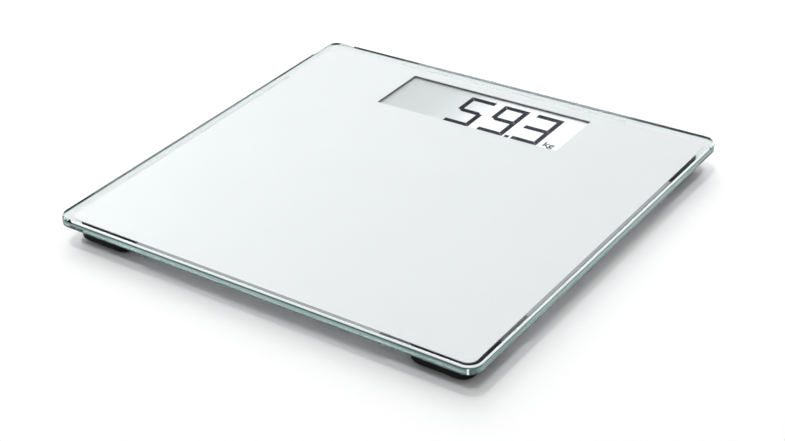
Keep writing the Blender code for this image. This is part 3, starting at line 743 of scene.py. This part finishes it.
slab(
    "glass_plate",
    2 * HALF,
    2 * HALF,
    PLATE_R,
    stations(
        [
            (-2.4, BASE),
            (-ARRIS, BASE),
            (0.0, BASE + ARRIS),
            (0.0, TOP - BEVEL - 0.3),
            (-BEVEL + 0.6, TOP),
            (-2.4, TOP),
        ],
        [0.08, 0.08, 1.1, 0.12],
        6,
    ),
    20,
    "glass",
    slot="glass",
    replaces=("glass_platform",),
)

# ------------------------------------------------------------------ white print
# in contact with the glass: its upper face lies just inside it
pierced(
    "white_print",
    xy(rounded(2 * PRINT_HALF + 0.6, 2 * PRINT_HALF - 0.4, 6.0, 12, 0.35, 0.15)),
    [xy(rounded(*SEEN[:2], 0.8, 5, *SEEN[2:]))],
    PRINT_LO[2],
    BASE + 0.02,
    "print",
    slot="print",
    replaces=("underside_print",),
)

# the halftone border, left out over the feet; it is denser on the front and right, where it lightens the shade seen
# through the rim as painted light, than on the back and left
PX0, PX1 = -PRINT_HALF + 0.05, PRINT_HALF + 0.65
PY0, PY1 = -PRINT_HALF + 0.35, PRINT_HALF - 0.05
GAP = 87.5
for side, (x0, x1, y0, y1) in {
    "front": (-GAP, GAP, PY0 - 2.2, PY0 - 0.02),
    "back": (-GAP, GAP, PY1 + 0.02, PY1 + 2.2),
    "left": (PX0 - 2.2, PX0 - 0.02, -GAP, GAP),
    "right": (PX1 + 0.02, PX1 + 2.2, -GAP, GAP),
}.items():
    pierced(
        f"halftone_border_{side}",
        [(x0, y0), (x1, y0), (x1, y1), (x0, y1)],
        [],
        PRINT_LO[2] + 0.1,
        BASE + 0.02,
        "border" if side in ("front", "right") else "border_thin",
        slot="print",
    )

WINDOW = (2 * WIN_X - 0.04, WIN_Y1 - WIN_Y0 - 0.04, 0.0, (WIN_Y0 + WIN_Y1) / 2)
LINER = (SEEN[0] + 0.1, SEEN[1] + 0.1, *SEEN[2:])
LIP = LCD_TOP + 0.75
pierced(
    "display_bezel",
    xy(rounded(*WINDOW[:2], 1.0, 5, *WINDOW[2:])),
    [xy(rounded(*LINER[:2], 0.7, 5, *LINER[2:]))],
    LCD_TOP + 0.01,
    LIP,
    "bezel",
)
pierced(
    "window_foam_seal",
    xy(rounded(*WINDOW[:2], 1.0, 5, *WINDOW[2:])),
    [xy(rounded(*LINER[:2], 0.7, 5, *LINER[2:]))],
    LIP,
    BASE - 0.03,
    "foam",
)

# ------------------------------------------------------------------ the readout
DIGIT_Y, DIGIT_H, DIGIT_W, STROKE, BAR = 89.9, 39.5, 19.2, 3.5, 4.3
SPLIT = 0.07  # half the gap between two segments
LIT = {"5": "afgcd", "9": "abcdfg", "3": "abcdg"}


def segment(which, lit, x, y, w, h, s, u):
    """One segment's outline, s wide if it is upright and u high if it lies.
    An end that meets no lit neighbour is square."""
    g = SPLIT * 1.414
    m = h / 2
    t, v = s / 2, u / 2
    left = {"a": "f" in lit, "d": "e" in lit}.get(which)
    right = {"a": "b" in lit, "d": "c" in lit}.get(which)
    inner = w - s - g * 0.6
    c = {
        "a": [(g, h), (w - g, h), (w - (s + g if right else g), h - u), ((s + g if left else g), h - u)],
        "d": [((s + g if left else g), u), (w - (s + g if right else g), u), (w - g, 0), (g, 0)],
        "f": [(0, h - g), (s, h - u - g), (s, m + v + g * 0.2), (t, m + g), (0, m + g)],
        "b": [(w, h - g), (w, m + g), (w - t, m + g), (w - s, m + v + g * 0.2), (w - s, h - u - g)],
        "e": [(0, g), (0, m - g), (t, m - g), (s, m - v - g * 0.2), (s, u + g)],
        "c": [(w, g), (w - s, u + g), (w - s, m - v - g * 0.2), (w - t, m - g), (w, m - g)],
        "g": [(t + g, m), (s + g * 0.6, m + v), (inner, m + v), (w - t - g, m), (inner, m - v), (s + g * 0.6, m - v)],
    }[which]
    if which == "g" and not {"e", "f"} & set(lit):
        c = [(g, m + v), *c[2:5], (g, m - v)]
    return [(x + px, y + py) for px, py in c]


for tag, digit, x in (("tens", "5", -18.9), ("ones", "9", 6.9), ("tenths", "3", 32.4)):
    put(
        f"readout_{tag}",
        prism_mesh(
            f"readout_{tag}",
            [segment(k, LIT[digit], x, DIGIT_Y, DIGIT_W, DIGIT_H, STROKE, BAR) for k in LIT[digit]],
            LCD_TOP - 0.02,
            LCD_TOP + 0.05,
        ),
        "segments",
        slot="display",
    )
put(
    "readout_point",
    prism_mesh(
        "readout_point",
        [[(27.6, DIGIT_Y), (30.8, DIGIT_Y), (30.8, DIGIT_Y + 3.2), (27.6, DIGIT_Y + 3.2)]],
        LCD_TOP - 0.02,
        LCD_TOP + 0.05,
    ),
    "segments",
    slot="display",
)
text = bpy.data.curves.new("readout_unit", "FONT")
text.body = "kg"
text.size = 8.4 * MM
text.extrude = 0.035 * MM
text.offset = 0.00012
writing = bpy.data.objects.new("readout_unit_text", text)
bpy.context.scene.collection.objects.link(writing)
bpy.context.view_layer.update()
shaped = bpy.data.meshes.new_from_object(writing.evaluated_get(bpy.context.evaluated_depsgraph_get()))
bpy.data.objects.remove(writing)
shaped.name = "readout_unit"
shaped.materials.clear()
lo_x = min(v.co.x for v in shaped.vertices)
hi_x = max(v.co.x for v in shaped.vertices)
lo_y = min(v.co.y for v in shaped.vertices)
shaped.transform(
    Matrix.Translation(Vector((55.2, DIGIT_Y + 0.1, LCD_TOP + 0.015)) * MM)
    @ Matrix.Diagonal((7.4 * MM / (hi_x - lo_x), 7.4 * MM / (hi_x - lo_x), 1.0, 1.0))
    @ Matrix.Translation((-lo_x, -lo_y, 0.0))
)
put("readout_unit", shaped, "segments", slot="display")


# ------------------------------------------------------------------ kept nodes
def dress(node, mat, slot=None):
    obj = NODES[node]
    for s in obj.material_slots:
        s.material = M[mat]
    if not obj.material_slots:
        obj.data.materials.append(M[mat])
    return obj


for c in CORNERS:
    dress(f"foot_housing_{c}", "foot")
    dress(f"foot_plunger_{c}", "foot")
    dress(f"load_cell_{c}", "steel")
    dress(f"strain_gauge_{c}", "gauge")
for n in ("electronics_housing", "housing_cover"):
    dress(n, "case")
dress("battery_door", "door")
dress("lcd_cell", "display")
dress("lcd_reflector", "film")
dress("zebra_connector", "zebra")
dress("circuit_board", "board")
dress("controller_chip", "epoxy")
dress("unit_switch", "nickel")
dress("unit_button", "button")
dress("coin_cell", "coin")
dress("battery_contact_negative", "nickel")
dress("battery_contact_positive", "nickel")
for i in range(4):
    dress(f"cover_screw_{i + 1}", "zinc")
for i in range(2):
    dress(f"board_screw_{i + 1}", "zinc")
for a in ("front", "mid", "back", "inner"):
    for b in ("left", "right"):
        dress(f"cable_clip_{a}_{b}", "clip")

# ------------------------------------------------------------------ foot pads
PAD_R = 4.0
GROOVE = 0.35  # depth of the grooves that run round the sole
for c, (sx, sy) in CORNERS.items():
    lo, hi = span(f"foot_pad_{c}")
    # from the sole's middle outwards: land, groove, land, groove, land, side
    slab(
        f"foot_sole_{c}",
        hi[0] - lo[0],
        hi[1] - lo[1],
        PAD_R,
        stations(
            [
                (-3.95, 0.0),
                (-3.70, 0.0),
                (-3.55, GROOVE),
                (-2.95, GROOVE),
                (-2.80, 0.0),
                (-2.10, 0.0),
                (-1.95, GROOVE),
                (-1.35, GROOVE),
                (-1.20, 0.0),
                (-0.40, 0.0),
                (0.0, 0.4),
                (0.0, hi[2]),
                (-1.0, hi[2]),
            ],
            [0.05, 0.05, 0.05, 0.05, 0.05, 0.05, 0.05, 0.05, 0.2, 0.2, 0.15],
            2,
        ),
        8,
        "rubber",
        (lo[0] + hi[0]) / 2,
        (lo[1] + hi[1]) / 2,
        body=f"foot_{c}",
        slot="pad_rubber",
        replaces=(f"foot_pad_{c}",),
    )

# ------------------------------------------------------------------ sensor leads
# three round leads side by side from each load cell to the board, on the
# route that the part's flat cables take
FOOT_C = 121.5
LEAD_R = 0.5
LEAD_STEP = 1.14
RUN_Z = UNDER - 0.6
ENTRY_X = {"front_left": -52.0, "back_left": -62.0, "front_right": 2.0, "back_right": 12.0}


def eased(points, radius, seg):
    """A path through points with its inner corners rounded."""
    pts = [Vector(p) for p in points]
    out = [pts[0]]
    for a, b, c in zip(pts, pts[1:], pts[2:]):
        u, v = (a - b).normalized(), (c - b).normalized()
        back_off = min(radius / math.tan(u.angle(v) / 2), (a - b).length * 0.49, (c - b).length * 0.49)
        p, q = b + u * back_off, b + v * back_off
        for i in range(seg + 1):
            t = i / seg
            out.append(p.lerp(b, t).lerp(b.lerp(q, t), t))
    out.append(pts[-1])
    kept = out[:1]
    for p in out[1:]:
        if (p - kept[-1]).length > 0.05:
            kept.append(p)
    return kept


def leads(name, path, colours, **kw):
    """Round leads side by side along a path, their row kept level."""
    n = len(path)
    along = []
    for i in range(n):
        a = (path[i] - path[i - 1]).normalized() if i else None
        b = (path[i + 1] - path[i]).normalized() if i < n - 1 else None
        along.append(((a or b) + (b or a)).normalized())
    flat = [Vector((v.x, v.y, 0)) for v in along]
    verts, faces, which = [], [], []
    sides = 10
    for k, _ in enumerate(colours):
        off = (k - (len(colours) - 1) / 2) * LEAD_STEP
        rows = []
        for i, (p, v) in enumerate(zip(path, along)):
            near = min((j for j in range(n) if flat[j].length > 0.3), key=lambda j: abs(j - i))
            head = flat[near].normalized()
            across = Vector((head.y, -head.x, 0))
            out = across.cross(v).normalized()
            row = []
            for m in range(sides):
                a = 2 * math.pi * m / sides
                row.append(len(verts))
                verts.append((p + across * (off + LEAD_R * math.cos(a)) + out * (LEAD_R * math.sin(a))) * MM)
            rows.append(row)
        for r0, r1 in zip(rows, rows[1:]):
            for m in range(sides):
                j = (m + 1) % sides
                faces.append((r0[m], r0[j], r1[j], r1[m]))
                which.append(k)
        faces.append(tuple(reversed(rows[0])))
        faces.append(tuple(rows[-1]))
        which += [k, k]
    mesh = bpy.data.meshes.new(name)
    mesh.from_pydata(verts, [], faces)
    bm = bmesh.new()
    bm.from_mesh(mesh)
    bmesh.ops.recalc_face_normals(bm, faces=bm.faces)
    bm.to_mesh(mesh)
    bm.free()
    mesh.shade_smooth()
    mesh.set_sharp_from_angle(angle=math.radians(50))
    obj = put(name, mesh, colours[0], **kw)
    for colour in colours[1:]:
        mesh.materials.append(M[colour])
    for face, k in zip(mesh.polygons, which):
        face.material_index = k
    return obj


for c, (sx, sy) in CORNERS.items():
    run_y = 20.0 if sy < 0 else 34.0
    start_y = sy * FOOT_C - sy * 15.75
    board_z = span("circuit_board")[1][2] + 0.8
    module_y = HOUSE_LO[1]
    leads(
        f"sensor_leads_{c}",
        eased(
            [
                (sx * FOOT_C, start_y, 7.3),
                (sx * FOOT_C, start_y, RUN_Z),
                (sx * FOOT_C, run_y, RUN_Z),
                (ENTRY_X[c], run_y, RUN_Z),
                (ENTRY_X[c], module_y + 3.0, RUN_Z),
                (ENTRY_X[c], module_y + 7.0, board_z),
                (ENTRY_X[c], 61.0, board_z),
            ],
            6.0,
            7,
        ),
        ("red", "white", "black"),
        slot="cable",
        replaces=(f"sensor_cable_{c}",),
    )

# ------------------------------------------------------------------ stage
floor_mesh = bpy.data.meshes.new("studio_floor")
R = 9.0
floor_mesh.from_pydata([(-R, -R, 0), (R, -R, 0), (R, R, 0), (-R, R, 0)], [], [(0, 1, 2, 3)])
floor = bpy.data.objects.new("studio_floor", floor_mesh)
bpy.context.scene.collection.objects.link(floor)
fs = Shade("studio_floor")
fs.set(Base_Color=(0.90, 0.90, 0.905), Roughness=0.55, Specular_IOR_Level=0.25)
# it is seen and lit from above only, so the underside can be looked at
f_geo = fs.node("ShaderNodeNewGeometry")
f_path = fs.node("ShaderNodeLightPath")
f_clear = fs.node("ShaderNodeBsdfTransparent")
f_mix = fs.node("ShaderNodeMixShader")
# the lamp below reaches what is seen directly, and no light that has bounced
f_first = fs.math("LESS_THAN", f_path.outputs["Diffuse Depth"], 0.5)
f_pass = fs.math("MULTIPLY", f_path.outputs["Is Shadow Ray"], f_first)
fs.link(fs.math("MAXIMUM", f_geo.outputs["Backfacing"], f_pass), f_mix.inputs["Fac"])
fs.link(fs.p.outputs["BSDF"], f_mix.inputs[1])
fs.link(f_clear.outputs["BSDF"], f_mix.inputs[2])
fs.link(f_mix.outputs["Shader"], fs.out.inputs["Surface"])
floor_mesh.materials.append(fs.mat)

world = bpy.data.worlds.new("studio")
bpy.context.scene.world = world
world.use_nodes = True
wn = world.node_tree
wn.nodes.clear()
w_out = wn.nodes.new("ShaderNodeOutputWorld")
w_light = wn.nodes.new("ShaderNodeBackground")
w_light.inputs["Color"].default_value = (0.98, 0.99, 1.0, 1.0)
w_light.inputs["Strength"].default_value = 0.12
w_seen = wn.nodes.new("ShaderNodeBackground")
w_seen.inputs["Color"].default_value = (1.0, 1.0, 1.0, 1.0)
w_seen.inputs["Strength"].default_value = 1.05
w_path = wn.nodes.new("ShaderNodeLightPath")
# what a polished face mirrors: a dark room, lighter towards the horizon
w_coord = wn.nodes.new("ShaderNodeTexCoord")
w_axes = wn.nodes.new("ShaderNodeSeparateXYZ")
wn.links.new(w_coord.outputs["Generated"], w_axes.inputs["Vector"])
w_ramp = wn.nodes.new("ShaderNodeValToRGB")
for at, v in ((0.38, 0.22), (0.50, 0.05)):
    if at == 0.38:
        w_ramp.color_ramp.elements[0].position = at
        w_ramp.color_ramp.elements[0].color = (v, v, v, 1.0)
    else:
        w_ramp.color_ramp.elements[1].position = at
        w_ramp.color_ramp.elements[1].color = (v, v, v, 1.0)
wn.links.new(w_axes.outputs["Z"], w_ramp.inputs["Fac"])
w_gloss = wn.nodes.new("ShaderNodeBackground")
w_sum = w_ramp.outputs["Color"]
# two bright soft boxes, where the near bevels mirror them
for at in ((-0.557, -0.501, 0.664), (0.501, 0.663, 0.558)):
    w_dot = wn.nodes.new("ShaderNodeVectorMath")
    w_dot.operation = "DOT_PRODUCT"
    w_dot.inputs[1].default_value = at
    wn.links.new(w_coord.outputs["Generated"], w_dot.inputs[0])
    w_box = wn.nodes.new("ShaderNodeMapRange")
    w_box.inputs["From Min"].default_value = 0.90
    w_box.inputs["From Max"].default_value = 0.95
    w_box.inputs["To Min"].default_value = 0.0
    w_box.inputs["To Max"].default_value = 9.0
    wn.links.new(w_dot.outputs["Value"], w_box.inputs["Value"])
    w_add = wn.nodes.new("ShaderNodeVectorMath")
    w_add.operation = "ADD"
    wn.links.new(w_sum, w_add.inputs[0])
    wn.links.new(w_box.outputs["Result"], w_add.inputs[1])
    w_sum = w_add.outputs["Vector"]
wn.links.new(w_sum, w_gloss.inputs["Color"])
w_mix1 = wn.nodes.new("ShaderNodeMixShader")
w_mirror = wn.nodes.new("ShaderNodeMath")
w_mirror.operation = "SUBTRACT"
w_mirror.use_clamp = True
wn.links.new(w_path.outputs["Is Glossy Ray"], w_mirror.inputs[0])
wn.links.new(w_path.outputs["Is Transmission Ray"], w_mirror.inputs[1])
wn.links.new(w_mirror.outputs[0], w_mix1.inputs["Fac"])
wn.links.new(w_light.outputs[0], w_mix1.inputs[1])
wn.links.new(w_gloss.outputs[0], w_mix1.inputs[2])
w_mix = wn.nodes.new("ShaderNodeMixShader")
wn.links.new(w_path.outputs["Is Camera Ray"], w_mix.inputs["Fac"])
wn.links.new(w_mix1.outputs[0], w_mix.inputs[1])
wn.links.new(w_seen.outputs[0], w_mix.inputs[2])
wn.links.new(w_mix.outputs[0], w_out.inputs["Surface"])


def sun(name, towards, elevation, strength, angle, colour=(1.0, 1.0, 1.0)):
    """A soft lamp far away. towards is the azimuth it stands at, from +Y
    round towards -X."""
    lamp = bpy.data.lights.new(name, "SUN")
    lamp.energy = strength
    lamp.angle = math.radians(angle)
    lamp.color = colour
    obj = bpy.data.objects.new(name, lamp)
    a, e = math.radians(towards), math.radians(elevation)
    back = Vector((-math.sin(a) * math.cos(e), math.cos(a) * math.cos(e), math.sin(e)))
    obj.rotation_mode = "QUATERNION"
    obj.rotation_quaternion = back.to_track_quat("Z", "Y")
    obj.location = back * 3
    bpy.context.scene.collection.objects.link(obj)
    return obj


def panel(name, at, width, watts):
    """A round soft lamp that faces the scale."""
    lamp = bpy.data.lights.new(name, "AREA")
    lamp.shape = "DISK"
    lamp.size = width
    lamp.energy = watts
    obj = bpy.data.objects.new(name, lamp)
    obj.location = at
    obj.rotation_mode = "QUATERNION"
    obj.rotation_quaternion = Vector(at).to_track_quat("Z", "Y")
    bpy.context.scene.collection.objects.link(obj)
    return obj


# a small lamp close by lifts the white area towards its front left corner
fill = panel("fill", (-0.32, -0.20, 0.22), 0.25, 0.32)
lit = bpy.data.collections.new("lit_by_fill")
for o in list(bpy.context.scene.collection.objects):
    if o.name.startswith("white_print"):
        lit.objects.link(o)
fill.light_linking.receiver_collection = lit

for lamp in (
    sun("key", 123.0, 82.0, 1.50, 10.0),
    panel("soft", (-0.70, 0.80, 0.85), 1.1, 9.6),
    sun("room", 0.0, 90.0, 1.08, 176.0),
    sun("below", 40.0, -70.0, 1.7, 80.0),
    fill,
):
    lamp.visible_glossy = False
    lamp.visible_transmission = False
    lamp.data.cycles.use_multiple_importance_sampling = False

# ------------------------------------------------------------------ camera
FOCAL, AZ, EL, ROLL = 1669.4, 40.889, 30.398, -4.529
TX, TY, DIST = -0.11162, -0.02760, 1.05098
PX = 214.5  # where the lens axis meets the picture, in pixels of 785
a, e, r = math.radians(AZ), math.radians(EL), math.radians(ROLL)
back = Vector((math.sin(a) * math.cos(e), -math.cos(a) * math.cos(e), math.sin(e)))
right = Vector((math.cos(a), math.sin(a), 0.0))
up = back.cross(right)
right2 = right * math.cos(r) + up * math.sin(r)
up2 = up * math.cos(r) - right * math.sin(r)
cam = bpy.data.cameras.new("camera")
cam.sensor_width = 36.0
cam.lens = FOCAL / 785.0 * 36.0
cam.shift_x = (392.5 - PX) / 785.0
cam.clip_start, cam.clip_end = 0.02, 60.0
eye = bpy.data.objects.new("camera", cam)
bpy.context.scene.collection.objects.link(eye)
place = right2 * TX + up2 * TY + back * DIST + Vector((0, 0, TOP * MM))
eye.matrix_world = Matrix(
    (
        (right2.x, up2.x, back.x, place.x),
        (right2.y, up2.y, back.y, place.y),
        (right2.z, up2.z, back.z, place.z),
        (0, 0, 0, 1),
    )
)
bpy.context.scene.camera = eye
bpy.context.scene.view_settings.view_transform = "Standard"
bpy.context.scene.cycles.caustics_reflective = False
bpy.context.scene.cycles.caustics_refractive = False
bpy.context.scene.cycles.use_light_tree = False
